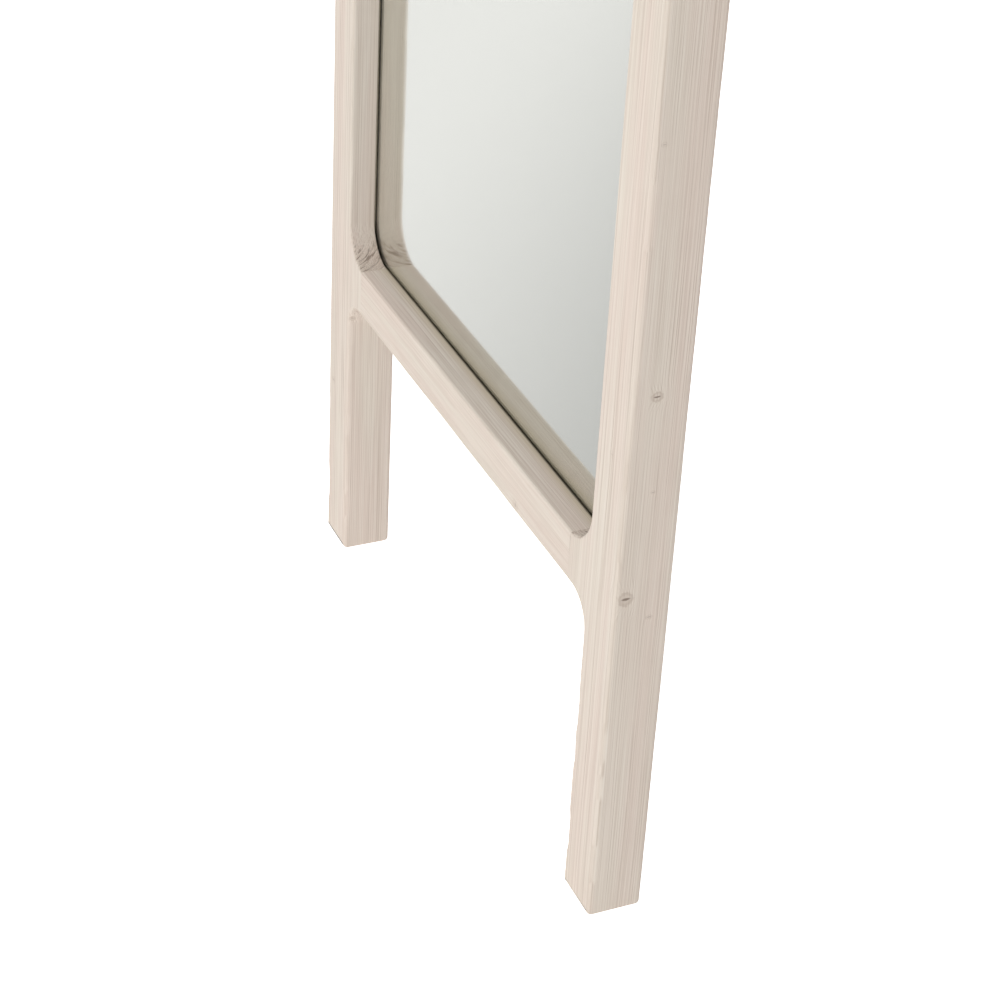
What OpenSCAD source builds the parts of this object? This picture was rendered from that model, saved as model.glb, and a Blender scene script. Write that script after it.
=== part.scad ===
// Leaning floor mirror: a pine frame that stands on its own two posts, with a
// silvered glass set back in a rebate and a boarded back. Origin: on the floor,
// at the middle of the mirror's width and depth. Front is -Y, up is +Z.

/* [Frame] */
// Width across the two posts
frame_w = 700; // [560:10:900]
// Height from the floor to the top of the frame
frame_h = 1800; // [1500:10:2000]
// Width of a post, seen from the front
post_w = 56; // [50:1:64]
// Depth of the frame, front to back
frame_d = 53; // [50:1:60]
// Height of each rail
rail_h = 50; // [46:1:60]
// Length of post below the bottom rail
leg_h = 309; // [150:1:400]
// Radius of the eased outer edges
arris_r = 5; // [3:0.5:8]

/* [Corners] */
// How far a post's haunch reaches along the rail
haunch_l = 36; // [34:1:40]
// Radius of the sweep between post and rail, inside the opening
inner_sweep_r = 40; // [38:1:44]
// Radius of the sweep between leg and rail, underneath
leg_sweep_r = 30; // [20:1:33]
// Radius of the two outer top corners
top_corner_r = 60; // [40:1:70]

/* [Glazing] */
// Depth of the lip in front of the glass
lip_d = 27; // [23:1:29]
// Width of the rebate behind the lip
rebate_w = 12; // [10:1:14]
// Thickness of the glass
glass_t = 4; // [4:1:6]
// Thickness of the backing board
board_t = 5; // [4:1:6]

/* [Fittings] */
// Distance from the top of the frame down to the hanging rings' pivots
hanger_drop = 260; // [200:10:400]
// Wire diameter of the hanging rings
ring_wire = 3.5; // [3:0.5:4]
// How far the wall bumpers stand off the back
bumper_t = 7; // [7:1:10]
// How far the foot pads stand out of the posts' ends
pad_proud = 1; // [1:0.5:2]

/* [Hidden] */
$fn = 64;
eps = 1;                                  // how far a cutter runs past a face

// Frame
half_w = frame_w / 2;
open_x = half_w - post_w;                 // half the width of the opening
front_y = -(frame_d + bumper_t) / 2;
back_y = front_y + frame_d;
foot_z = pad_proud;
rail_z = foot_z + leg_h;                  // underside of the bottom rail
open_z = [rail_z + rail_h, frame_h - rail_h];
joint_x = open_x - haunch_l;              // joint between haunch and rail

// Rebate and what fills it, from the lip backwards
lip_y = front_y + lip_d;
rebate_x = open_x + rebate_w;
rebate_z = [open_z[0] - rebate_w, open_z[1] + rebate_w];
glass_gap = 2;                            // all round, filled by the small blocks
glass_x = rebate_x - glass_gap;
glass_z = [rebate_z[0] + glass_gap, rebate_z[1] - glass_gap];
tape_t = 1;
tape_w = 9.5;
film_t = 0.3;
foam_t = 3.7;
glass_y = lip_y + tape_t;
film_y = glass_y + glass_t;
foam_y = film_y + film_t;
board_y = foam_y + foam_t;
batten_y = board_y + board_t;
batten_t = back_y - batten_y;
batten_w = 18;

// Dowels
dowel_r = 6;
dowel_l = 70;
dowel_in = 19;                            // in from the rail's outer edge
dowel_ys = [front_y + 15, back_y - 15];
glue_gap = 0.05;

// Screws
batten_screw_l = 28;
batten_screw_y = batten_y + batten_t / 2;
side_screw_n = 5;
end_screw_n = 3;

// Hanging rings
post_mid_x = half_w - post_w / 2;
hanger_z = frame_h - hanger_drop;
plate_w = 16;
plate_l = 60;
plate_t = 1.2;
knuckle_l = 13;
wire_r = ring_wire / 2;
bore_r = wire_r + 0.05;                   // running clearance on the ring's wire
knuckle_r = bore_r + 1.25;
pivot_y = back_y + knuckle_r;
ring_half_w = 11;
ring_bend_r = 4;
ring_side = 10;                           // pivot to the centre of the round end
hanger_screw_drops = [34, 50];            // below the pivot

// Pads and blocks
pad_size = [46, 48];
pad_t = 3;
pad_y = (front_y + back_y) / 2;
bumper_r = 12.5;
bumper_drop = 36;
block_l = 60;
side_block_l = 40;

wood_colour = [0.80, 0.73, 0.65];
steel_colour = [0.66, 0.67, 0.68];
rubber_colour = [0.12, 0.12, 0.12];

// ---------------------------------------------------------------- helpers

// A box between two corners
module span(low, high) {
    translate(low) cube(high - low);
}

// The same piece on the right and mirrored on the left
module left() {
    mirror([1, 0, 0]) children();
}

// A cylinder along +Y from y to y + length
module y_rod(x, y, z, r, length) {
    translate([x, y, z]) rotate([-90, 0, 0]) cylinder(r = r, h = length);
}

// A flat plate with four round corners, on the XY plane
module round_plate(size, t, r) {
    linear_extrude(height = t) round_rect(size, r);
}

module round_rect(size, r) {
    square([size[0] - 2 * r, size[1]], center = true);
    square([size[0], size[1] - 2 * r], center = true);
    for (x = [-1, 1], y = [-1, 1])
        translate([x * (size[0] / 2 - r), y * (size[1] / 2 - r)]) circle(r = r);
}

// What a round edge along +Z takes off a square corner that points to +X +Y
module corner_waste(r, length) {
    difference() {
        translate([-r, -r, -eps]) cube([r + eps, r + eps, length + 2 * eps]);
        translate([-r, -r, -2 * eps]) cylinder(r = r, h = length + 4 * eps);
    }
}

// Countersunk wood screw: head in the plane z = 0, point down -Z
module countersunk_screw(length, shank_r, head_r, grow = 0) {
    head_h = head_r - shank_r;
    tip_h = 2 * shank_r;
    translate([0, 0, -head_h]) cylinder(r1 = shank_r + grow, r2 = head_r + grow, h = head_h);
    translate([0, 0, tip_h - length])
        cylinder(r = shank_r + grow, h = length - tip_h - head_h + 0.01);
    translate([0, 0, -length - grow]) cylinder(r1 = 0.3, r2 = shank_r + grow, h = tip_h + grow);
}

// Cross recess in the top of a screw head
module cross_recess(width, depth) {
    for (turn = [0, 90])
        rotate([0, 0, turn]) translate([-width / 2, -0.4, -depth]) cube([width, 0.8, depth + eps]);
}

// ---------------------------------------------------------------- timber

// Space behind the lip, from the rebate to the back
module rebate() {
    span([-rebate_x, lip_y, rebate_z[0]], [rebate_x, back_y + eps, rebate_z[1]]);
}

// Waste of one sweep: a cylinder along Y, and all beyond it on the rail's side.
// up is 1 where the opening lies above the rail, -1 where it lies below.
module sweep_waste(z, r, up) {
    reach = haunch_l + eps;
    y_rod(open_x - r, front_y - eps, z + up * r, r, frame_d + 2 * eps);
    if (reach > r)
        span([open_x - reach, front_y - eps, min(z, z + up * 2 * r)],
             [open_x - r, back_y + eps, max(z, z + up * 2 * r)]);
}

// Haunch on the inner side of the right post, between two rail faces
module haunch(z_low, z_high, r_low, r_high) {
    low = z_low - r_low;
    high = z_high + r_high;
    difference() {
        span([joint_x, front_y, low], [open_x + post_w / 2, back_y, high]);
        if (r_low > 0) sweep_waste(z_low, r_low, -1);
        if (r_high > 0) sweep_waste(z_high, r_high, 1);
    }
}

module post_blank() {
    difference() {
        union() {
            span([open_x, front_y, foot_z], [half_w, back_y, frame_h]);
            haunch(rail_z, open_z[0], leg_sweep_r, inner_sweep_r);
            haunch(open_z[1], frame_h, inner_sweep_r, 0);
        }
        translate([half_w, back_y, foot_z]) corner_waste(arris_r, frame_h);
        translate([half_w, front_y, foot_z]) mirror([0, 1, 0]) corner_waste(arris_r, frame_h);
        translate([half_w, front_y, frame_h]) rotate([-90, 0, 0]) mirror([0, 1, 0])
            corner_waste(top_corner_r, frame_d);
    }
}

// Right post, with its haunches, bores and the recess for its foot pad
module post() {
    difference() {
        post_blank();
        rebate();
        dowel_set(glue_gap, dowel_l + 2);
        foot_pad(0.1);
        side_batten_screws(glue_gap);
        hanger_screw_pair(glue_gap);
    }
}

module left_post() {
    color(wood_colour) left() post();
}

module right_post() {
    color(wood_colour) post();
}

module top_rail() {
    color(wood_colour) difference() {
        span([-joint_x, front_y, open_z[1]], [joint_x, back_y, frame_h]);
        translate([-joint_x, 0, 0]) rotate([0, 90, 0]) rail_edges(-frame_h);
        rebate();
        both_sides() dowel_set(glue_gap, dowel_l + 2);
        end_batten_screws(open_z[1] + rebate_w, 1, glue_gap);
    }
}

module bottom_rail() {
    color(wood_colour) difference() {
        span([-joint_x, front_y, rail_z], [joint_x, back_y, open_z[0]]);
        rebate();
        both_sides() dowel_set(glue_gap, dowel_l + 2);
        end_batten_screws(open_z[0] - rebate_w, -1, glue_gap);
    }
}

// Waste of the eased edges along the top rail, with +Z turned to +X
module rail_edges(edge_x) {
    translate([edge_x, back_y, 0]) mirror([1, 0, 0]) corner_waste(arris_r, 2 * joint_x);
    translate([edge_x, front_y, 0]) mirror([1, 0, 0]) mirror([0, 1, 0])
        corner_waste(arris_r, 2 * joint_x);
}

module both_sides() {
    children();
    mirror([1, 0, 0]) children();
}

// The four dowels of the right post's two joints
module dowel_set(grow, length) {
    for (y = dowel_ys, z = [rail_z + dowel_in, frame_h - dowel_in])
        translate([joint_x - length / 2, y, z]) rotate([0, 90, 0])
            cylinder(r = dowel_r + grow, h = length);
}

module corner_dowels() {
    color([0.86, 0.74, 0.58]) both_sides() dowel_set(0, dowel_l);
}

// ---------------------------------------------------------------- glazing

// A sheet with the outline of the glass
module glass_sheet(y, t) {
    span([-glass_x, y, glass_z[0]], [glass_x, y + t, glass_z[1]]);
}

module glazing_tape() {
    color([0.20, 0.20, 0.19]) difference() {
        glass_sheet(lip_y, tape_t);
        span([tape_w - glass_x, lip_y - eps, glass_z[0] + tape_w],
             [glass_x - tape_w, lip_y + tape_t + eps, glass_z[1] - tape_w]);
    }
}

module mirror_glass() {
    color([0.84, 0.87, 0.86]) glass_sheet(glass_y, glass_t);
}

module safety_film() {
    color([0.45, 0.47, 0.50]) glass_sheet(film_y, film_t);
}

module foam_sheet() {
    color([0.90, 0.90, 0.88]) glass_sheet(foam_y, foam_t);
}

module back_board() {
    color([0.52, 0.38, 0.25]) glass_sheet(board_y, board_t);
}

// Blocks that the glass stands on
module setting_blocks() {
    color(rubber_colour) for (side = [-1, 1])
        translate([side * glass_x / 2 - block_l / 2, glass_y, rebate_z[0]])
            cube([block_l, glass_t, glass_gap]);
}

// Blocks that keep the glass centred between the posts
module location_blocks() {
    color(rubber_colour) both_sides() for (part = [0.2, 0.8])
        translate([glass_x, glass_y, glass_z[0] + part * (glass_z[1] - glass_z[0])])
            cube([glass_gap, glass_t, side_block_l]);
}

// ---------------------------------------------------------------- back

// Battens: the two end ones run right across, the side ones between them
module side_batten() {
    color([0.78, 0.66, 0.50]) difference() {
        span([rebate_x - batten_w, batten_y, rebate_z[0] + batten_w],
             [rebate_x, back_y, rebate_z[1] - batten_w]);
        side_batten_screws(glue_gap);
    }
}

module left_batten() {
    left() side_batten();
}

module right_batten() {
    side_batten();
}

module end_batten(z, low, up) {
    color([0.78, 0.66, 0.50]) difference() {
        span([-rebate_x, batten_y, low], [rebate_x, back_y, low + batten_w]);
        end_batten_screws(z, up, glue_gap);
    }
}

module top_batten() {
    end_batten(rebate_z[1], rebate_z[1] - batten_w, 1);
}

module bottom_batten() {
    end_batten(rebate_z[0], rebate_z[0], -1);
}

// Screws of the right batten, driven outwards into the post
module side_batten_screws(grow) {
    length = rebate_z[1] - rebate_z[0] - 4 * batten_w;
    for (i = [0 : side_screw_n - 1])
        translate([rebate_x - batten_w, batten_screw_y,
                   rebate_z[0] + 2 * batten_w + i * length / (side_screw_n - 1)])
            rotate([0, -90, 0]) batten_screw(grow);
}

// Screws of an end batten, driven up (1) or down (-1) into the rail at z
module end_batten_screws(z, up, grow) {
    reach = joint_x - batten_w;
    for (i = [0 : end_screw_n - 1])
        translate([reach * (2 * i / (end_screw_n - 1) - 1), batten_screw_y, z - up * batten_w])
            rotate([up > 0 ? 180 : 0, 0, 0]) batten_screw(grow);
}

module batten_screw(grow) {
    difference() {
        countersunk_screw(batten_screw_l, 1.75, 3.5, grow);
        if (grow == 0) cross_recess(3.4, 1.2);
    }
}

module batten_screws() {
    color(steel_colour) {
        both_sides() side_batten_screws(0);
        end_batten_screws(rebate_z[1], 1, 0);
        end_batten_screws(rebate_z[0], -1, 0);
    }
}

// ---------------------------------------------------------------- fittings

// Right hanger: a strap on the back of the post, rolled round the ring at its top
module hanger_plate() {
    color(steel_colour) difference() {
        union() {
            translate([post_mid_x, back_y, hanger_z - 1 - plate_l / 2]) rotate([-90, 0, 0])
                round_plate([plate_w, plate_l], plate_t, 3);
            translate([post_mid_x - knuckle_l / 2, pivot_y, hanger_z]) rotate([0, 90, 0])
                cylinder(r = knuckle_r, h = knuckle_l);
        }
        translate([post_mid_x - knuckle_l, pivot_y, hanger_z]) rotate([0, 90, 0])
            cylinder(r = bore_r, h = 2 * knuckle_l);
        hanger_screw_pair(glue_gap);
    }
}

module left_hanger_plate() {
    left() hanger_plate();
}

module right_hanger_plate() {
    hanger_plate();
}

// Pan-head screws that hold the right strap to the post
module hanger_screw_pair(grow) {
    for (drop = hanger_screw_drops)
        translate([post_mid_x, back_y + plate_t, hanger_z - drop]) rotate([-90, 0, 0])
            pan_screw(28, 2, grow);
}

// Pan-head screw: shank down -Z, head standing on the plane z = 0
module pan_screw(length, shank_r, grow) {
    translate([0, 0, 2 * shank_r - length])
        cylinder(r = shank_r + grow, h = length - 2 * shank_r + (grow > 0 ? eps : 0));
    translate([0, 0, -length - grow])
        cylinder(r1 = 0.3, r2 = shank_r + grow, h = 2 * shank_r + grow);
    if (grow == 0)
        difference() {
            union() {
                cylinder(r = 3.8, h = 1);
                translate([0, 0, 1]) cylinder(r1 = 3.8, r2 = 2.6, h = 1);
            }
            translate([0, 0, 2]) cross_recess(3.6, 1.3);
        }
}

module hanger_screws() {
    color(steel_colour) both_sides() hanger_screw_pair(0);
}

// Quarter bend of wire in the XY plane, centred on the origin
module wire_bend(bend_r, from, sweep) {
    rotate([0, 0, from]) rotate_extrude(angle = sweep) translate([bend_r, 0]) circle(r = wire_r);
}

module wire_along_x(from, to, y) {
    translate([from, y, 0]) rotate([0, 90, 0]) cylinder(r = wire_r, h = to - from);
}

module wire_along_y(x, from, to) {
    translate([x, from, 0]) rotate([-90, 0, 0]) cylinder(r = wire_r, h = to - from);
}

// Right ring, hanging straight down from its pivot
module d_ring() {
    color(steel_colour) translate([post_mid_x, pivot_y, hanger_z]) rotate([90, 0, 0]) {
        inner = ring_half_w - ring_bend_r;
        wire_along_x(-inner, inner, 0);
        translate([inner, -ring_bend_r, 0]) wire_bend(ring_bend_r, 0, 90);
        translate([-inner, -ring_bend_r, 0]) wire_bend(ring_bend_r, 90, 90);
        wire_along_y(ring_half_w, -ring_side, -ring_bend_r);
        wire_along_y(-ring_half_w, -ring_side, -ring_bend_r);
        translate([0, -ring_side, 0]) wire_bend(ring_half_w, 180, 180);
    }
}

module left_d_ring() {
    left() d_ring();
}

module right_d_ring() {
    d_ring();
}

// Rubber buffer between the frame's back and the wall
module wall_bumper() {
    edge = 2;
    color(rubber_colour) translate([post_mid_x, back_y, frame_h - bumper_drop])
        rotate([-90, 0, 0]) {
            cylinder(r = bumper_r, h = bumper_t - edge);
            translate([0, 0, bumper_t - edge]) cylinder(r1 = bumper_r, r2 = bumper_r - edge, h = edge);
        }
}

module left_wall_bumper() {
    left() wall_bumper();
}

module right_wall_bumper() {
    wall_bumper();
}

// Pad let into the end of the right post; grow makes its recess
module foot_pad(grow) {
    color(rubber_colour) translate([post_mid_x, pad_y, -eps * sign(grow)])
        round_plate([pad_size[0] + 2 * grow, pad_size[1] + 2 * grow],
                    pad_t + eps * sign(grow), 4 + grow);
}

module left_foot_pad() {
    left() foot_pad(0);
}

module right_foot_pad() {
    foot_pad(0);
}

left_post();
right_post();
top_rail();
bottom_rail();
corner_dowels();
glazing_tape();
mirror_glass();
safety_film();
setting_blocks();
location_blocks();
foam_sheet();
back_board();
left_batten();
right_batten();
top_batten();
bottom_batten();
batten_screws();
left_hanger_plate();
right_hanger_plate();
hanger_screws();
left_d_ring();
right_d_ring();
left_wall_bumper();
right_wall_bumper();
left_foot_pad();
right_foot_pad();
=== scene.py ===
import math

import bpy
from mathutils import Matrix, Vector, noise

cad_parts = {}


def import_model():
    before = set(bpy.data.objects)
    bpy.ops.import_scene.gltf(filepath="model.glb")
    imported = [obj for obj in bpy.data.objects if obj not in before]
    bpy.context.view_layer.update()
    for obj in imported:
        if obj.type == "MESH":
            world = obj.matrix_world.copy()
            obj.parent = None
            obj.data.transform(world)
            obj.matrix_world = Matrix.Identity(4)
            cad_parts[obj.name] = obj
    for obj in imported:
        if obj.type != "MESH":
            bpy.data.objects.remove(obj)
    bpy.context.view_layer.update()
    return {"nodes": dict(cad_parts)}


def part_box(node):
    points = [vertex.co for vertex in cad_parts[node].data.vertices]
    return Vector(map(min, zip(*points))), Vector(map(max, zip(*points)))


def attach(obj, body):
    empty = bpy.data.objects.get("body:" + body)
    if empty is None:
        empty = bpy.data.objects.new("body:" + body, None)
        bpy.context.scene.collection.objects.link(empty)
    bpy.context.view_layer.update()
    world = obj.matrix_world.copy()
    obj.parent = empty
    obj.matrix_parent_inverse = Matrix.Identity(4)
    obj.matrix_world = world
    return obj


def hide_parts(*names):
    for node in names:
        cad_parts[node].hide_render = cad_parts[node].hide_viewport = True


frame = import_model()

MM = 0.001

# ------------------------------------------------------------------ sizes from the frame

POST_LOW, POST_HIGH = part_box("right_post")
RAIL_LOW, RAIL_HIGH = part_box("bottom_rail")
PAD_LOW, PAD_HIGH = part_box("right_foot_pad")
GLASS_LOW, GLASS_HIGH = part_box("mirror_glass")
TOP_RAIL_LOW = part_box("top_rail")[0]
TAPE_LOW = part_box("glazing_tape")[0]
TOP_BATTEN_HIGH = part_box("top_batten")[1]
BOTTOM_BATTEN_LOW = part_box("bottom_batten")[0]

FRONT_Y, BACK_Y = POST_LOW.y, POST_HIGH.y
HALF_W = POST_HIGH.x
JOINT_X = POST_LOW.x                       # joint between haunch and rail
OPEN_X = PAD_LOW.x + PAD_HIGH.x - HALF_W   # inner face of the post
FOOT_Z, TOP_Z = POST_LOW.z, POST_HIGH.z
RAIL_Z = RAIL_LOW.z
OPEN_Z0, OPEN_Z1 = RAIL_HIGH.z, TOP_RAIL_LOW.z
LIP_Y = TAPE_LOW.y
REBATE_X = TOP_BATTEN_HIGH.x
REBATE_Z0, REBATE_Z1 = BOTTOM_BATTEN_LOW.z, TOP_BATTEN_HIGH.z

INNER_SWEEP = 40 * MM                      # radius between post and rail, inside the opening
LEG_SWEEP = 30 * MM                        # radius between rail and leg
TOP_CORNER = 60 * MM
ARRIS = 5 * MM                             # radius of an eased outer edge
INNER_EASE = 0.55                          # share of that radius on the opening's edge
LIP_BACK_R = 0.5 * MM
FOOT_R = 3.5 * MM
STEP = 8 * MM                              # spacing of points along the timber
ARC_STEP = 3 * MM
FOOT_STEP = 1 * MM
FRONT_SEGMENTS, BACK_SEGMENTS = 7, 5       # facets round the front and the rear edge
WANDER_SCALE, WANDER_SHARE = 9, 0.20       # slow change of an edge's radius, waves per metre
RIPPLE_SCALE, RIPPLE_SHARE = 40, 0.07      # quick change of it
MARK_FADE = 3 * MM                         # how softly a worn mark ends
FRONT_SEED, BACK_SEED = 5, 9               # keep the two edges' changes apart
SHARP_ANGLE = math.radians(35)
BEVEL_ANGLE = math.radians(30)

# ------------------------------------------------------------------ mesh helpers


def add_object(name, verts, faces):
    """A new mesh object that rides on the frame."""
    mesh = bpy.data.meshes.new(name)
    mesh.from_pydata([tuple(v) for v in verts], [], faces)
    mesh.validate()
    mesh.update()
    piece = bpy.data.objects.new(name, mesh)
    bpy.context.scene.collection.objects.link(piece)
    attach(piece, "frame")
    return piece


def smooth_by_angle(piece):
    mesh = piece.data
    mesh.shade_smooth()
    mesh.set_sharp_from_angle(angle=SHARP_ANGLE)
    weighted = piece.modifiers.new("weighted_normals", "WEIGHTED_NORMAL")
    weighted.keep_sharp = True
    weighted.weight = 100


def bevel(piece, width, segments=2):
    modifier = piece.modifiers.new("eased_edges", "BEVEL")
    modifier.width = width
    modifier.segments = segments
    modifier.limit_method = "ANGLE"
    modifier.angle_limit = BEVEL_ANGLE
    modifier.harden_normals = True


def box_piece(name, low, high):
    (x0, y0, z0), (x1, y1, z1) = low, high
    verts = [(x, y, z) for z in (z0, z1) for y in (y0, y1) for x in (x0, x1)]
    faces = [(0, 2, 3, 1), (4, 5, 7, 6), (0, 1, 5, 4), (2, 6, 7, 3), (0, 4, 6, 2), (1, 3, 7, 5)]
    return add_object(name, verts, faces)


# ------------------------------------------------------------------ outlines, as (x, z) points


def line(a, b, step=STEP):
    """Evenly spaced points from a to b."""
    count = max(1, round(math.dist(a, b) / step))
    return [tuple(a[i] + (b[i] - a[i]) * k / count for i in (0, 1)) for k in range(count + 1)]


def arc(centre, radius, start, end, step=ARC_STEP):
    """Points from angle start to angle end, in degrees, 0 along +x and 90 along +z."""
    count = max(3, round(abs(math.radians(end - start)) * radius / step))
    angles = [math.radians(start + (end - start) * k / count) for k in range(count + 1)]
    return [(centre[0] + radius * math.cos(a), centre[1] + radius * math.sin(a)) for a in angles]


def chain(*stretches):
    """The stretches joined end to end, with doubled points left out."""
    points = []
    for stretch in stretches:
        points += [p for p in stretch if not points or math.dist(p, points[-1]) > 0.01 * MM]
    return points


def inward_normals(points):
    """Mitred normals to the left of the way along the points; the wood lies on that side."""
    sides = []
    for a, b in zip(points, points[1:]):
        length = math.dist(a, b)
        sides.append(((a[1] - b[1]) / length, (b[0] - a[0]) / length))
    normals = []
    for before, after in zip([sides[0]] + sides, sides + [sides[-1]]):
        scale = 1 / (1 + before[0] * after[0] + before[1] * after[1])
        normals.append(((before[0] + after[0]) * scale, (before[1] + after[1]) * scale))
    return normals


# ------------------------------------------------------------------ timber


def profile(front_r, back_r, back_y):
    """Inset and y of a section's side, from its front face round two eased edges to its back."""
    points = []
    for k in range(FRONT_SEGMENTS + 1):
        a = math.pi / 2 * k / FRONT_SEGMENTS
        points.append((front_r * (1 - math.sin(a)), FRONT_Y + front_r * (1 - math.cos(a))))
    for k in range(BACK_SEGMENTS + 1):
        a = math.pi / 2 * k / BACK_SEGMENTS
        points.append((back_r * (1 - math.cos(a)), back_y - back_r * (1 - math.sin(a))))
    return points


def worn(x, z, seed, marks):
    """Radius of an eased edge at a point: hand-eased, so it wanders, and wider at a few marks.
    A mark is (centre height, half length, extra radius)."""
    wander = noise.noise(Vector((x * WANDER_SCALE, seed * 3.7, z * WANDER_SCALE)))
    ripple = noise.noise(Vector((x * RIPPLE_SCALE, seed * 5.1, z * RIPPLE_SCALE)))
    radius = ARRIS * (1 + WANDER_SHARE * wander + RIPPLE_SHARE * ripple)
    for centre, half_length, extra in marks:
        away = max(0.0, abs(z - centre) - half_length) / MARK_FADE
        radius += extra * math.exp(-away * away)
    return radius


def edge_radii(x, z, side, seed, marks):
    """Radii of the front and the rear edge on one side of a board. The opening's edge is eased
    less than the outer one, and behind it there is only the lip's back."""
    side_marks = [mark[1:] for mark in marks if mark[0] == side]
    front_r = worn(x, z, seed + FRONT_SEED, side_marks)
    if side == "inner":
        return INNER_EASE * front_r, LIP_BACK_R
    return front_r, worn(x, z, seed + BACK_SEED, ())


def timber(name, outer, inner, rebate, seed, marks=(), flip=1):
    """One board. Its outer side runs the full depth, its inner side ends at the lip, and the
    rebate path lies behind the lip. Outer and inner side follow each other round the outline;
    the rebate path starts where the inner side does. A mark is (side, *mark of worn)."""
    verts, faces = [], []

    def vertex(x, y, z):
        verts.append((flip * x, y, z))
        return len(verts) - 1

    def sweep(points, back_y, side):
        rings = []
        for (x, z), (nx, nz) in zip(points, inward_normals(points)):
            front_r, rear_r = edge_radii(x, z, side, seed, marks)
            rings.append([vertex(x + nx * inset, y, z + nz * inset)
                          for inset, y in profile(front_r, rear_r, back_y)])
        for ring_a, ring_b in zip(rings, rings[1:]):
            for k in range(len(ring_a) - 1):
                faces.append((ring_a[k], ring_a[k + 1], ring_b[k + 1], ring_b[k]))
        return rings

    outer_rings = sweep(outer, BACK_Y, "outer")
    inner_rings = sweep(inner, LIP_Y, "inner")
    lip_path = [vertex(x, LIP_Y, z) for x, z in rebate]
    back_path = [vertex(x, BACK_Y, z) for x, z in rebate]
    for k in range(len(rebate) - 1):
        faces.append((lip_path[k], back_path[k], back_path[k + 1], lip_path[k + 1]))
    outer_front = [ring[0] for ring in outer_rings]
    outer_back = [ring[-1] for ring in outer_rings]
    inner_front = [ring[0] for ring in inner_rings]
    inner_back = [ring[-1] for ring in inner_rings]
    faces.append(outer_front + inner_front)
    faces.append((outer_back + back_path)[::-1])
    faces.append(inner_back + lip_path[::-1])
    faces.append(outer_rings[-1][::-1] + inner_rings[0] + [lip_path[0], back_path[0]])
    faces.append(outer_rings[0] + [back_path[-1], lip_path[-1]] + inner_rings[-1][::-1])
    if flip < 0:
        faces = [tuple(reversed(f)) for f in faces]
    piece = add_object(name, verts, faces)
    smooth_by_angle(piece)
    return piece


def post_outline():
    """The right post with its haunches: outer side, inner side and rebate."""
    outer = chain(
        line((JOINT_X, RAIL_Z), (OPEN_X - LEG_SWEEP, RAIL_Z), ARC_STEP),
        arc((OPEN_X - LEG_SWEEP, RAIL_Z - LEG_SWEEP), LEG_SWEEP, 90, 0),
        line((OPEN_X, RAIL_Z - LEG_SWEEP), (OPEN_X, FOOT_Z + FOOT_R)),
        arc((OPEN_X + FOOT_R, FOOT_Z + FOOT_R), FOOT_R, 180, 270, FOOT_STEP),
        line((OPEN_X + FOOT_R, FOOT_Z), (HALF_W - FOOT_R, FOOT_Z)),
        arc((HALF_W - FOOT_R, FOOT_Z + FOOT_R), FOOT_R, 270, 360, FOOT_STEP),
        line((HALF_W, FOOT_Z + FOOT_R), (HALF_W, TOP_Z - TOP_CORNER)),
        arc((HALF_W - TOP_CORNER, TOP_Z - TOP_CORNER), TOP_CORNER, 0, 90),
        line((HALF_W - TOP_CORNER, TOP_Z), (JOINT_X, TOP_Z)),
    )
    reach = math.degrees(math.acos((JOINT_X - OPEN_X + INNER_SWEEP) / INNER_SWEEP))
    inner = chain(
        arc((OPEN_X - INNER_SWEEP, OPEN_Z1 - INNER_SWEEP), INNER_SWEEP, reach, 0),
        line((OPEN_X, OPEN_Z1 - INNER_SWEEP), (OPEN_X, OPEN_Z0 + INNER_SWEEP)),
        arc((OPEN_X - INNER_SWEEP, OPEN_Z0 + INNER_SWEEP), INNER_SWEEP, 0, -reach),
    )
    rebate = [(JOINT_X, REBATE_Z1), (REBATE_X, REBATE_Z1),
              (REBATE_X, REBATE_Z0), (JOINT_X, REBATE_Z0)]
    return outer, inner, rebate


def rail_outline(outer_z, open_z, rebate_z):
    """The bottom rail's outer side runs to +x; the top rail's runs to -x."""
    end = JOINT_X if outer_z < open_z else -JOINT_X
    outer = line((-end, outer_z), (end, outer_z))
    inner = line((end, open_z), (-end, open_z))
    rebate = [(end, rebate_z), (-end, rebate_z)]
    return outer, inner, rebate


# ------------------------------------------------------------------ materials


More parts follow.
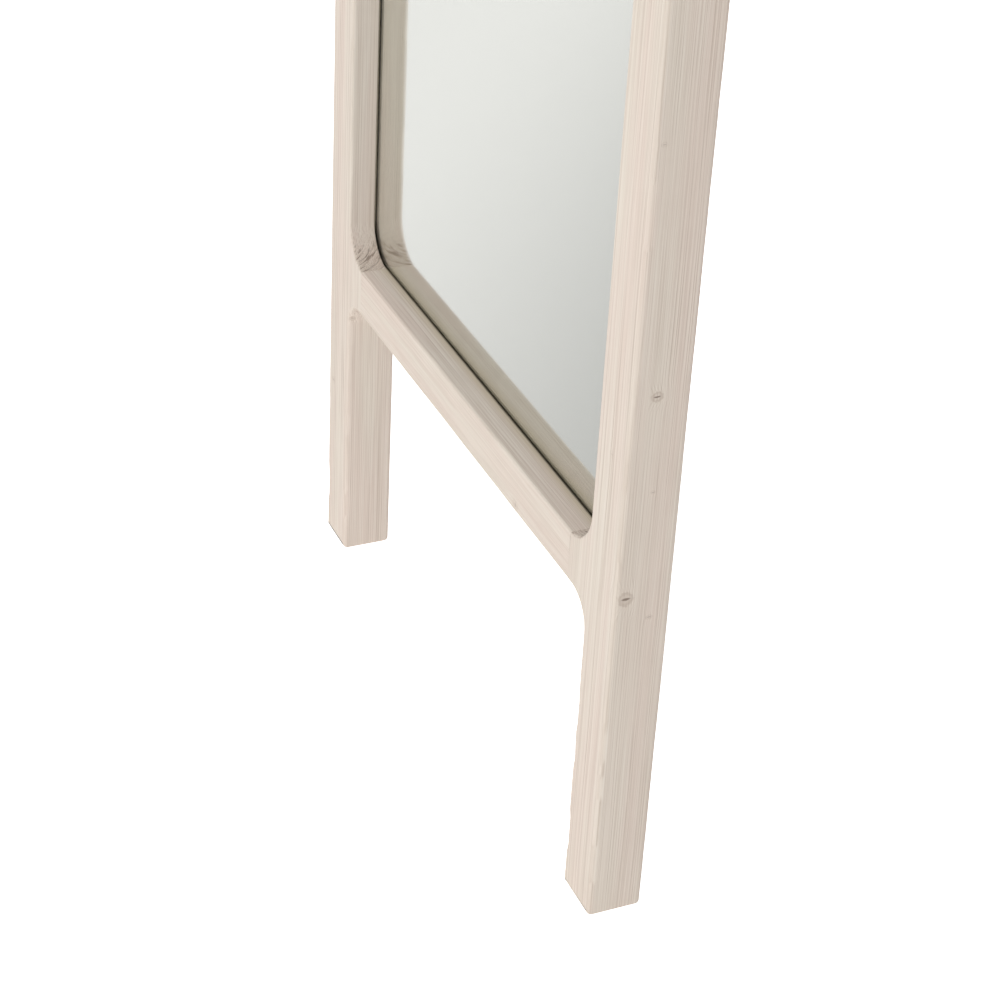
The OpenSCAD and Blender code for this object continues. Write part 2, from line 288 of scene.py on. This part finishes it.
class Shader:
    """A node material, with short names for the nodes it uses most."""

    def __init__(self, name, **constants):
        self.material = bpy.data.materials.new(name)
        self.material.use_nodes = True
        self.tree = self.material.node_tree
        self.bsdf = self.tree.nodes["Principled BSDF"]
        for socket, value in constants.items():
            self.bsdf.inputs[socket.replace("_", " ")].default_value = value

    def node(self, kind, settings=(), **links):
        made = self.tree.nodes.new(kind)
        for key, value in dict(settings).items():
            setattr(made, key, value)
        for socket, value in links.items():
            self.put(made, socket.replace("_", " "), value)
        return made

    def put(self, node, socket, value):
        """Links another node's output to a socket, or sets a constant on it."""
        target = node.inputs[socket]
        if isinstance(value, bpy.types.NodeSocket):
            self.tree.links.new(value, target)
        else:
            target.default_value = value

    def math(self, operation, a, b=0.0, clamp=False):
        made = self.node("ShaderNodeMath", {"operation": operation, "use_clamp": clamp})
        self.put(made, 0, a)
        self.put(made, 1, b)
        return made.outputs[0]

    def vector(self, operation, a, b=(0.0, 0.0, 0.0)):
        made = self.node("ShaderNodeVectorMath", {"operation": operation})
        self.put(made, 0, a)
        self.put(made, "Scale" if operation == "SCALE" else 1, b)
        return made.outputs["Value" if operation in ("LENGTH", "DOT_PRODUCT") else "Vector"]

    def separate(self, vector):
        """The outputs X, Y and Z of a vector."""
        return self.node("ShaderNodeSeparateXYZ", (), Vector=vector).outputs

    def combine(self, x, y, z):
        return self.node("ShaderNodeCombineXYZ", (), X=x, Y=y, Z=z).outputs[0]

    def noise(self, vector, scale=1.0, detail=2.0, roughness=0.5, colour=False):
        made = self.node("ShaderNodeTexNoise", (), Vector=vector, Scale=scale, Detail=detail,
                         Roughness=roughness)
        return made.outputs["Color" if colour else 0]

    def remap(self, value, low, high, to_low=0.0, to_high=1.0):
        """A smooth step from to_low at low to to_high at high, level beyond them."""
        made = self.node("ShaderNodeMapRange", {"interpolation_type": "SMOOTHSTEP"},
                         Value=value, From_Min=low, From_Max=high, To_Min=to_low, To_Max=to_high)
        return made.outputs[0]

    def mix(self, factor, a, b):
        """Colour a blended into colour b. Sockets 6, 7 and output 2 are the colour ones."""
        made = self.node("ShaderNodeMix", {"data_type": "RGBA"})
        self.put(made, 0, factor)
        for index, value in ((6, a), (7, b)):
            if not isinstance(value, bpy.types.NodeSocket):
                value = (*value, 1.0)
            self.put(made, index, value)
        return made.outputs[2]

    def position(self):
        """Place in the object's own frame, in millimetres."""
        place = self.node("ShaderNodeTexCoord").outputs["Object"]
        return self.vector("SCALE", place, 1000.0)

    def bump(self, height, distance, strength=1.0):
        made = self.node("ShaderNodeBump", (), Height=height, Distance=distance, Strength=strength)
        return made.outputs[0]

    def finish(self, colour=None, roughness=None, normal=None):
        """Links what is given to the surface, and hands back the material."""
        for socket, value in (("Base Color", colour), ("Roughness", roughness), ("Normal", normal)):
            if value is not None:
                self.put(self.bsdf, socket, value)
        return self.material


LIMED = (0.790, 0.715, 0.625)
LIMED_PINK = (0.785, 0.675, 0.595)
LIME = (0.880, 0.820, 0.740)
LATEWOOD = (0.520, 0.420, 0.345)
KNOT = (0.250, 0.185, 0.145)
# painted shade: the brown that darkens the lip in the recess before the glass
GAP_SHADE_TINT = (0.560, 0.475, 0.330)

NOISE_MEAN = (0.5, 0.5, 0.5)
PITH_SWING = 7.0                           # how far the pith wanders, in mm
GAP_SHADE_REACH = 12                           # depth of the painted shade on the lip before the glass, in mm
GRAIN_DEPTH = 0.16 * MM
BRUSHED = {"X": 0.60, "Y": 1.15, "Z": 0.60}    # fineness of the streaks across the grain

# How strongly each mark of the grain colours the wood
LATE_SHARE = 0.62
EARLY_SHARE = 0.50
FIBRE_SHARE = 0.16
STREAK_SHARE = 0.40
PIGMENT_SHARE = 0.42
CUT_SHARE = 0.22
TORN_SHARE = 0.75
KNOT_SHARE = 0.56
HEART_SHARE = 0.90


def pith_distance(s, split, facing, along, pith, seed):
    """Distance from a pith that wanders along the board, how flat the rings lie in the surface,
    and a place measured round the rings."""
    travel = s.combine(s.math("MULTIPLY", split[along], 0.0028), seed * 3.1, 0.0)
    swing = s.separate(s.vector("SUBTRACT", s.noise(travel, 1.0, 2.0, 0.45, True), NOISE_MEAN))
    across = [axis for axis in "XYZ" if axis != along]
    gaps, squares, leans = [], [], []
    for axis, middle, offset in zip(across, pith, (swing[0], swing[1])):
        offset = s.math("MULTIPLY", offset, PITH_SWING)
        gap = s.math("ADD", s.math("SUBTRACT", split[axis], middle), offset)
        gaps.append(gap)
        squares.append(s.math("MULTIPLY", gap, gap))
        leans.append(s.math("MULTIPLY", gap, facing[axis]))
    radius = s.math("SQRT", s.math("ADD", *squares))
    lean = s.math("DIVIDE", s.math("ABSOLUTE", s.math("ADD", *leans)), radius)
    turned = s.math("MULTIPLY", s.math("ARCTAN2", *gaps), 1.9)
    polar = s.combine(s.math("MULTIPLY", radius, 0.55), turned,
                      s.math("MULTIPLY", split[along], 0.15))
    return radius, lean, polar


def knot_marks(s, place, along, knots, radius):
    """The distance from the pith, pushed aside round each knot, and masks of the knots and of
    their dark hearts. A knot is (centre, radius, darkness, stretch along the grain), in mm."""
    body, heart = 0.0, 0.0
    ripple = s.vector("SUBTRACT", s.noise(place, 0.30, 2.0, 0.5, True), NOISE_MEAN)
    narrow = tuple(3.2 if axis == along else 1.0 for axis in "XYZ")
    for centre, size, darkness, stretch in knots:
        scale = tuple(1 / (size * stretch) if axis == along else 1 / size for axis in "XYZ")
        offset = s.vector("MULTIPLY", s.vector("SUBTRACT", place, centre), scale)
        reach = s.vector("LENGTH", s.vector("ADD", offset, s.vector("SCALE", ripple, 0.8)))
        push = s.math("EXPONENT", s.math("MULTIPLY", s.math("MULTIPLY", reach, reach), -0.25))
        radius = s.math("ADD", radius, s.math("MULTIPLY", push, size * 0.8 * darkness))
        edge = s.math("MULTIPLY", s.remap(reach, 1.25, 0.85), s.remap(reach, 0.45, 0.95, 0.45, 1.0))
        body = s.math("MAXIMUM", body, s.math("MULTIPLY", edge, darkness))
        rough = s.vector("ADD", offset, s.vector("SCALE", ripple, 0.3))
        slit = s.remap(s.vector("LENGTH", s.vector("MULTIPLY", rough, narrow)), 0.80, 0.34)
        heart = s.math("MAXIMUM", heart, s.math("MULTIPLY", slit, darkness))
    return radius, body, heart


def shade_before_glass(s, place):
    """The last few millimetres of the lip before the glass, where painted shade darkens the recess.
    """
    split = s.separate(place)
    inside = s.remap(s.math("ABSOLUTE", split["X"]), OPEN_X / MM + 3, OPEN_X / MM + 1)
    above = s.remap(split["Z"], OPEN_Z0 / MM - 3, OPEN_Z0 / MM - 1)
    deep = s.remap(split["Y"], LIP_Y / MM - GAP_SHADE_REACH, LIP_Y / MM)
    return s.math("MULTIPLY", s.math("MULTIPLY", inside, above), deep)


def growth_rings(s, drawn, radius, spacing, seed):
    """The dark late line of each ring, the band of pale pigment beside it, and each ring's own
    strength."""
    uneven = s.noise(s.combine(s.math("MULTIPLY", radius, 0.16), seed * 2.3, 0.0), 1.0, 1.0)
    waver = s.noise(drawn(0.006, 0.05), 1.0, 2.0, 0.5)
    phase = s.math("ADD", s.math("DIVIDE", radius, spacing), s.math("MULTIPLY", uneven, 2.4))
    phase = s.math("ADD", phase, s.math("MULTIPLY", waver, 0.6))
    turn = s.math("FRACT", phase)
    late = s.math("MULTIPLY", s.remap(turn, 0.45, 0.86), s.remap(turn, 1.0, 0.94))
    early = s.math("MULTIPLY", s.remap(turn, 0.0, 0.08), s.remap(turn, 0.40, 0.14))
    ring = s.combine(s.math("MULTIPLY", s.math("FLOOR", phase), 7.31), seed * 1.7, 0.0)
    strength = s.remap(s.noise(ring, 1.0, 0.0), 0.30, 0.68, 0.15, 1.0)
    return late, early, strength


def grain_shows(s, drawn, lean, strength):
    """How far the rings and the brushed streaks show. Broad patches of the finish hide some
    rings, and so does a face that they lie flat in or that cuts them square across."""
    patch = s.remap(s.noise(drawn(0.009, 0.055), 1.0, 3.0, 0.6), 0.34, 0.60, 0.35, 1.0)
    tight = s.remap(lean, 0.84, 0.66, 1.0, 0.50)
    flat = s.remap(lean, 0.78, 0.99, 1.0, 0.25)
    rings = s.math("MULTIPLY", s.math("MULTIPLY", s.math("MULTIPLY", strength, patch), flat), tight)
    streaks = s.math("MULTIPLY", s.remap(lean, 0.60, 0.98, 1.0, 0.70),
                     s.remap(tight, 0.5, 1.0, 0.75, 1.0))
    streaks = s.math("MULTIPLY", streaks, s.remap(lean, 0.978, 0.992, 1.0, 0.40))
    return rings, streaks


def wood(name, along, pith, spacing, seed, knots=(), contrast=1.0, gap_shade=0.0, pale=LIMED,
         warm=LIMED_PINK, lime=LIME, dark=LATEWOOD):
    """Solid pine, brushed and limed: growth rings round a pith that runs along one axis of the
    board, each a dark line with pigment caught beside it, and darker where the grain is cut.
    The pith is given by its place in the two other axes; it and the spacing are in mm."""
    s = Shader(name, Roughness=0.62, Specular_IOR_Level=0.25)
    place = s.position()
    split = s.separate(place)
    facing = s.separate(s.node("ShaderNodeTexCoord").outputs["Normal"])
    shift = s.combine(seed * 37.0, seed * 11.0, seed * 5.0)

    def drawn(lengthways, crossways):
        parts = tuple(lengthways if axis == along else crossways for axis in "XYZ")
        return s.vector("ADD", s.vector("MULTIPLY", place, parts), shift)

    radius, lean, polar = pith_distance(s, split, facing, along, pith, seed)
    radius, knot_body, knot_heart = knot_marks(s, place, along, knots, radius)
    late, early, strength = growth_rings(s, drawn, radius, spacing, seed)
    rings, streaks = grain_shows(s, drawn, lean, strength)
    late = s.math("MULTIPLY", late, rings)
    early = s.math("MULTIPLY", early, rings)
    fibre = s.noise(drawn(0.016, 1.1), 1.0, 3.0, 0.62)
    brushed = tuple(0.004 if axis == along else BRUSHED[axis] for axis in "XYZ")
    streak = s.noise(s.vector("ADD", s.vector("MULTIPLY", place, brushed), shift), 1.0, 2.0, 0.6)

    # End grain: where a sweep cuts across the fibres they are darker, and torn here and there
    cut = s.remap(s.math("ABSOLUTE", facing[along]), 0.25, 0.95)
    boost = s.math("ADD", 1.0, s.math("MULTIPLY", cut, 1.2))
    torn = s.remap(s.noise(s.vector("ADD", polar, shift), 1.0, 2.0, 0.5), 0.53, 0.65)
    torn = s.math("MULTIPLY", torn, s.remap(cut, 0.25, 0.85))

    tone = s.remap(s.noise(drawn(0.004, 0.035), 1.0, 2.0, 0.5), 0.32, 0.68)
    colour = s.mix(tone, pale, warm)
    colour = s.mix(s.math("MULTIPLY", cut, CUT_SHARE), colour, dark)
    pigment = s.math("MULTIPLY", s.remap(streak, 0.50, 0.38), streaks)
    colour = s.mix(s.math("MULTIPLY", pigment, PIGMENT_SHARE * contrast), colour, lime)
    colour = s.mix(s.math("MULTIPLY", early, EARLY_SHARE * contrast), colour, lime)
    lines = s.math("ADD", s.math("MULTIPLY", late, LATE_SHARE),
                   s.math("MULTIPLY", s.remap(fibre, 0.42, 0.70), FIBRE_SHARE))
    streak_lines = s.math("MULTIPLY", s.remap(streak, 0.50, 0.64, 0.0, STREAK_SHARE), streaks)
    lines = s.math("MULTIPLY", s.math("ADD", lines, streak_lines), boost)
    lines = s.math("MULTIPLY", lines, contrast, clamp=True)
    colour = s.mix(lines, colour, dark)
    colour = s.mix(s.math("MULTIPLY", torn, TORN_SHARE), colour, KNOT)
    # painted shade: the lip darkens over its last millimetres before the glass, where the recess is
    # in shade
    if gap_shade:
        colour = s.mix(s.math("MULTIPLY", shade_before_glass(s, place), gap_shade), colour, GAP_SHADE_TINT)
    if knots:
        colour = s.mix(s.math("MULTIPLY", knot_body, KNOT_SHARE), colour, dark)
        colour = s.mix(s.math("MULTIPLY", knot_heart, HEART_SHARE), colour, KNOT)
    relief = s.math("SUBTRACT", s.math("MULTIPLY", late, 0.7), s.math("MULTIPLY", fibre, 0.9))
    normal = s.bump(relief, GRAIN_DEPTH, 0.9)
    return s.finish(colour, s.remap(fibre, 0.3, 0.8, 0.55, 0.75), normal)


def metal(name, colour, roughness, seed):
    """Zinc plate: spangled, and a little scuffed."""
    s = Shader(name, Metallic=1.0)
    place = s.position()
    spangle = s.node("ShaderNodeTexVoronoi", (), Vector=place, Scale=0.45).outputs["Color"]
    grey = s.separate(spangle)[0]
    scuff = s.noise(s.vector("ADD", place, (seed, seed, seed)), 1.3, 4.0, 0.6)
    dull = tuple(c * 0.78 for c in colour)
    tint = s.mix(s.math("MULTIPLY", s.math("ADD", grey, scuff), 0.5), dull, colour)
    gloss = s.remap(scuff, 0.3, 0.7, roughness * 0.8, roughness * 1.4)
    return s.finish(tint, gloss, s.bump(scuff, 0.02 * MM))


def matt(name, colour, seed, grain=1.2, roughness=0.85, relief=0.05, contrast=0.25, spot=None):
    """Rubber, foam, film or board: a fine grain over one colour, with a soft patchiness. The
    grain's relief is in mm."""
    s = Shader(name, Specular_IOR_Level=0.3)
    place = s.vector("ADD", s.position(), (seed * 13.0, seed * 7.0, seed * 3.0))
    speck = s.noise(place, grain, 3.0, 0.6)
    patch = s.noise(place, 0.02, 3.0, 0.5)
    other = spot or tuple(c * 0.6 for c in colour)
    blend = s.math("ADD", s.remap(speck, 0.4, 0.75), s.remap(patch, 0.3, 0.7))
    blend = s.math("MULTIPLY", blend, contrast)
    gloss = s.remap(speck, 0.3, 0.7, roughness * 0.9, min(1.0, roughness * 1.1))
    return s.finish(s.mix(blend, colour, other), gloss, s.bump(speck, relief * MM))


def assign(piece, material):
    """Gives a piece its only material."""
    piece.data.materials.clear()
    piece.data.materials.append(material)
    return piece


# ------------------------------------------------------------------ the wooden frame

# Worn places of the edges: side, height, half length, extra radius
RIGHT_MARKS = [
    ("outer", 63 * MM, 17 * MM, 2.6 * MM), ("outer", 147 * MM, 9 * MM, 1.8 * MM),
    ("outer", 196 * MM, 14 * MM, 1.4 * MM), ("outer", 420 * MM, 30 * MM, 1.2 * MM),
    ("outer", 700 * MM, 24 * MM, 1.9 * MM), ("inner", 900 * MM, 40 * MM, 1.2 * MM),
    ("outer", 1230 * MM, 30 * MM, 1.6 * MM),
]
LEFT_MARKS = [
    ("outer", 57 * MM, 17 * MM, 2.4 * MM), ("outer", 160 * MM, 8 * MM, 1.3 * MM),
    ("inner", 468 * MM, 18 * MM, 1.4 * MM), ("inner", 615 * MM, 25 * MM, 1.6 * MM),
    ("inner", 1010 * MM, 30 * MM, 1.5 * MM),
]
outer, inner, rebate = post_outline()
right_post = timber("right_post_timber", outer, inner, rebate, 3, RIGHT_MARKS)
left_post = timber("left_post_timber", outer, inner, rebate, 8, LEFT_MARKS, flip=-1)
bottom_rail = timber("bottom_rail_timber", *rail_outline(RAIL_Z, OPEN_Z0, REBATE_Z0), 5)
top_rail = timber("top_rail_timber", *rail_outline(TOP_Z, OPEN_Z1, REBATE_Z1), 6)
for piece, node in ((right_post, "right_post"), (left_post, "left_post"),
                    (bottom_rail, "bottom_rail"), (top_rail, "top_rail")):
    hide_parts(node)

# Knots: centre in mm, radius in mm, darkness, stretch along the grain
RIGHT_KNOTS = [
    ((350, -20.5, 347), 6.8, 1.0, 1.0), ((350, -8.5, 539), 5.2, 1.0, 0.85),
    ((350, -4, 449), 2.4, 0.45, 0.8), ((350, 3, 324), 3.0, 0.5, 0.7),
    ((350, -22, 758), 2.6, 0.35, 0.9), ((322, -30, 474), 3.2, 0.2, 1.2),
]
LEFT_KNOTS = [((-335, -30, 194), 4.6, 0.45, 0.8), ((-294, -25, 289), 3.2, 0.8, 1.0)]
RAIL_KNOTS = [((143, -30, 319), 4.2, 0.4, 1.4)]
# Each board's shade share sets how strongly painted shade darkens its lip before the glass
assign(right_post, wood("limed_pine_right", "Z", pith=(262, 118), spacing=2.1, seed=1,
                        knots=RIGHT_KNOTS, gap_shade=0.15))
assign(left_post, wood("limed_pine_left", "Z", pith=(-316, -48), spacing=2.1, seed=2,
                       knots=LEFT_KNOTS, gap_shade=0.15))
assign(bottom_rail, wood("limed_pine_rail", "X", pith=(120, 336), spacing=2.3, seed=3,
                         knots=RAIL_KNOTS, contrast=1.4, gap_shade=0.60))
assign(top_rail, wood("limed_pine_top", "X", pith=(-66, 1768), spacing=2.4, seed=4,
                      gap_shade=0.42))

# ------------------------------------------------------------------ the mirror


SILVER_DEPTH = 0.10 * MM                   # silver's distance from the glass's back
SILVER_THICK = 0.04 * MM
SILVER_MARGIN = 0.2 * MM                   # clear glass left round the silver


def silvered_glass():
    """A pane of clear float glass with a silver layer sunk just inside its back."""
    glass = box_piece("float_glass", GLASS_LOW, GLASS_HIGH)
    bevel(glass, 0.6 * MM, 1)
    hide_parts("mirror_glass")
    clear = Shader("float_glass", Transmission_Weight=1.0, IOR=1.52, Roughness=0.0,
                   Base_Color=(0.985, 1.0, 0.990, 1.0))
    assign(glass, clear.finish())
    front = GLASS_HIGH.y - SILVER_DEPTH
    low = (GLASS_LOW.x + SILVER_MARGIN, front, GLASS_LOW.z + SILVER_MARGIN)
    high = (GLASS_HIGH.x - SILVER_MARGIN, front + SILVER_THICK, GLASS_HIGH.z - SILVER_MARGIN)
    silver = box_piece("silvering", low, high)
    bright = Shader("silver_layer", Metallic=1.0, Roughness=0.0,
                    Base_Color=(0.855, 0.862, 0.828, 1.0))
    assign(silver, bright.finish())


silvered_glass()

# ------------------------------------------------------------------ what holds it, behind

NODES = frame["nodes"]
ZINC = metal("zinc_plate", (0.66, 0.67, 0.69), roughness=0.32, seed=2)
RUBBER = matt("black_rubber", (0.035, 0.035, 0.036), seed=4, grain=2.2, roughness=0.75, relief=0.04)
TAPE = matt("foam_tape", (0.42, 0.37, 0.27), seed=5, grain=3.0, roughness=0.95, relief=0.08)
FILM = matt("safety_film", (0.20, 0.21, 0.23), seed=6, grain=0.6, roughness=0.45, relief=0.01)
FOAM = matt("foam_sheet", (0.80, 0.80, 0.78), seed=7, grain=1.5, roughness=0.9, relief=0.1)
BOARD = matt("hardboard", (0.250, 0.145, 0.075), seed=8, grain=1.1, roughness=0.7, relief=0.03,
             contrast=0.35, spot=(0.33, 0.21, 0.12))
PINE = {"pale": (0.66, 0.49, 0.30), "warm": (0.62, 0.43, 0.25), "lime": (0.72, 0.56, 0.36),
        "dark": (0.42, 0.24, 0.12)}
BEECH = {"pale": (0.70, 0.50, 0.33), "warm": (0.66, 0.45, 0.29), "lime": (0.74, 0.55, 0.38),
         "dark": (0.50, 0.31, 0.19)}
BATTENS = [("left_batten", "Z", (-330, 60), 11), ("right_batten", "Z", (345, -40), 12),
           ("top_batten", "X", (70, 1700), 13), ("bottom_batten", "X", (60, 300), 14)]

assign(NODES["glazing_tape"], TAPE)
assign(NODES["safety_film"], FILM)
assign(NODES["foam_sheet"], FOAM)
assign(NODES["back_board"], BOARD)
assign(NODES["corner_dowels"], wood("beech", "X", pith=(-60, 300), spacing=1.4, seed=9,
                                    contrast=0.4, **BEECH))
for node, along, pith, seed in BATTENS:
    batten = assign(NODES[node], wood(node, along, pith, 2.6, seed, **PINE))
    bevel(batten, 0.8 * MM)
for node in ("setting_blocks", "location_blocks", "left_foot_pad", "right_foot_pad",
             "left_wall_bumper", "right_wall_bumper"):
    assign(NODES[node], RUBBER)
for node in ("batten_screws", "left_hanger_plate", "right_hanger_plate", "hanger_screws",
             "left_d_ring", "right_d_ring"):
    assign(NODES[node], ZINC)

# ------------------------------------------------------------------ studio

FLOOR_HALF = 14.0
MIRROR_GAIN = 0.837                        # share of the light that the mirror sends back

# The floor that the mirror sees is a glowing plane with painted shade, darker near the frame: it
# changes along one direction, between two distances in metres
FADE_DIRECTION = (-0.684, 0.847, 0.0)
FADE_START, FADE_END = -0.63, 0.606
FADE_DARK, FADE_BRIGHT = 0.245, 0.809
FADE_LEAST = 0.42                          # it is never darker than this


def floor_plane(name, z):
    """A wide square of floor at a height."""
    mesh = bpy.data.meshes.new(name)
    corners = [(-FLOOR_HALF, -FLOOR_HALF, z), (FLOOR_HALF, -FLOOR_HALF, z),
               (FLOOR_HALF, FLOOR_HALF, z), (-FLOOR_HALF, FLOOR_HALF, z)]
    mesh.from_pydata(corners, [], [(0, 1, 2, 3)])
    plane = bpy.data.objects.new(name, mesh)
    bpy.context.scene.collection.objects.link(plane)
    return plane


def glow(name, colour, strength):
    """A pale surface that is bright enough to stay white, whatever falls on it."""
    s = Shader(name, Roughness=0.9, Specular_IOR_Level=0.0, Base_Color=(0.9, 0.9, 0.9, 1.0))
    s.put(s.bsdf, "Emission Color", (*colour, 1.0))
    s.put(s.bsdf, "Emission Strength", strength)
    return s


def seen_by(plane, *kinds):
    """Shows a plane to these kinds of ray only."""
    for kind in ("camera", "diffuse", "glossy", "transmission", "volume_scatter", "shadow"):
        setattr(plane, "visible_" + kind, kind in kinds)


def studio_floor():
    """A white floor for the eye, a softer one whose light reaches the wood, and a glowing one for the
    mirror only, with painted shade that darkens it from far on the left to just in front of the
    frame."""
    white = floor_plane("floor", 0.0)
    white.data.materials.append(glow("floor_white", (1.0, 1.0, 1.0), 1.05).finish())
    seen_by(white, "camera")
    soft = floor_plane("floor_bounce", -1 * MM)
    soft.data.materials.append(glow("floor_soft", (1.0, 0.99, 0.98), 0.40).finish())
    seen_by(soft, "diffuse")
    mirrored = floor_plane("floor_in_mirror", -2 * MM)
    seen_by(mirrored, "glossy", "transmission")
    s = glow("floor_mirror_painted_shade", (1.0, 0.987, 0.986), 1.0)
    s.put(s.bsdf, "Base Color", (0.0, 0.0, 0.0, 1.0))
    # painted shade: this floor glows for the mirror, darkest just in front of the frame
    place = s.node("ShaderNodeTexCoord").outputs["Object"]
    fall = s.vector("DOT_PRODUCT", place, FADE_DIRECTION)
    bright = s.remap(fall, FADE_START, FADE_END, FADE_DARK, FADE_BRIGHT)
    bright = s.math("MAXIMUM", bright, FADE_LEAST)
    s.put(s.bsdf, "Emission Strength", s.math("DIVIDE", bright, MIRROR_GAIN))
    mirrored.data.materials.append(s.finish())


def area_light(name, place, target, size, watts, colour=(1.0, 1.0, 1.0)):
    """A soft light that neither the eye nor the mirror sees."""
    data = bpy.data.lights.new(name, "AREA")
    data.shape = "RECTANGLE"
    data.size, data.size_y = size
    data.energy = watts
    data.color = colour
    lamp = bpy.data.objects.new(name, data)
    bpy.context.scene.collection.objects.link(lamp)
    lamp.location = place
    lamp.rotation_mode = "QUATERNION"
    lamp.rotation_quaternion = (Vector(target) - Vector(place)).to_track_quat("-Z", "Y")
    for kind in ("camera", "glossy", "transmission"):
        setattr(lamp, "visible_" + kind, False)


def world(front, back, colour):
    """A pale studio: brighter in front of the mirror than behind it, and white to the eye."""
    made = bpy.data.worlds.new("studio")
    made.use_nodes = True
    tree = made.node_tree
    place = tree.nodes.new("ShaderNodeTexCoord")
    split = tree.nodes.new("ShaderNodeSeparateXYZ")
    ramp = tree.nodes.new("ShaderNodeMapRange")
    soft = tree.nodes["Background"]
    white = tree.nodes.new("ShaderNodeBackground")
    path = tree.nodes.new("ShaderNodeLightPath")
    choose = tree.nodes.new("ShaderNodeMixShader")
    for socket, value in (("From Min", -0.5), ("From Max", 0.5), ("To Min", front), ("To Max", back)):
        ramp.inputs[socket].default_value = value
    soft.inputs["Color"].default_value = (*colour, 1.0)
    white.inputs["Strength"].default_value = 1.0
    white.inputs["Color"].default_value = (1.0, 1.0, 1.0, 1.0)
    tree.links.new(place.outputs["Generated"], split.inputs[0])
    tree.links.new(split.outputs["Y"], ramp.inputs["Value"])
    tree.links.new(ramp.outputs[0], soft.inputs["Strength"])
    tree.links.new(path.outputs["Is Camera Ray"], choose.inputs[0])
    tree.links.new(soft.outputs[0], choose.inputs[1])
    tree.links.new(white.outputs[0], choose.inputs[2])
    tree.links.new(choose.outputs[0], tree.nodes["World Output"].inputs["Surface"])
    bpy.context.scene.world = made


studio_floor()
world(0.50, 0.24, (1.0, 0.99, 0.98))
area_light("key", (-1.3, -3.8, 0.5), (0.0, 0.0, 0.4), (3.0, 1.6), 18, (1.0, 0.985, 0.97))
area_light("fill", (3.4, -2.8, 0.9), (0.0, 0.0, 0.5), (3.0, 2.0), 33, (1.0, 0.99, 0.98))
area_light("overhead", (0.3, -1.6, 4.6), (0.0, 0.0, 0.4), (3.4, 3.4), 54)
area_light("behind", (-1.4, 3.4, 1.3), (0.0, 0.0, 0.9), (2.5, 2.0), 40)

# The light that the mirror throws back onto the sides of the lip in front of it
OPEN_MIDDLE = (OPEN_Z0 + OPEN_Z1) / 2
area_light("mirror_glare", (0.0, LIP_Y - 1 * MM, OPEN_MIDDLE), (0.0, -1.0, OPEN_MIDDLE),
           (2 * OPEN_X, OPEN_Z1 - OPEN_Z0), 0.72)
bpy.context.scene.view_settings.view_transform = "Standard"

# ------------------------------------------------------------------ camera

CAMERA_PLACE = (1.8675, -0.8409, 1.5088)
CAMERA_AZIMUTH = 65.235                    # 0 looks along +Y, 90 along -X
CAMERA_ELEVATION = 31.888
CAMERA_ROLL = 3.224                        # stands in for the way such a mirror leans back
CAMERA_LENS = 89.6
SENSOR_WIDTH = 36.0


def camera():
    """The scene's camera, aimed by azimuth, elevation and roll."""
    data = bpy.data.cameras.new("camera")
    data.lens = CAMERA_LENS
    data.sensor_width = SENSOR_WIDTH
    made = bpy.data.objects.new("camera", data)
    bpy.context.scene.collection.objects.link(made)
    azimuth = math.radians(CAMERA_AZIMUTH)
    elevation = math.radians(CAMERA_ELEVATION)
    forward = Vector((-math.sin(azimuth) * math.cos(elevation),
                      math.cos(azimuth) * math.cos(elevation), -math.sin(elevation)))
    level = forward.to_track_quat("-Z", "Y").to_matrix().to_4x4()
    roll = Matrix.Rotation(math.radians(CAMERA_ROLL), 4, "Z")
    made.matrix_world = Matrix.Translation(CAMERA_PLACE) @ level @ roll
    bpy.context.scene.camera = made


camera()
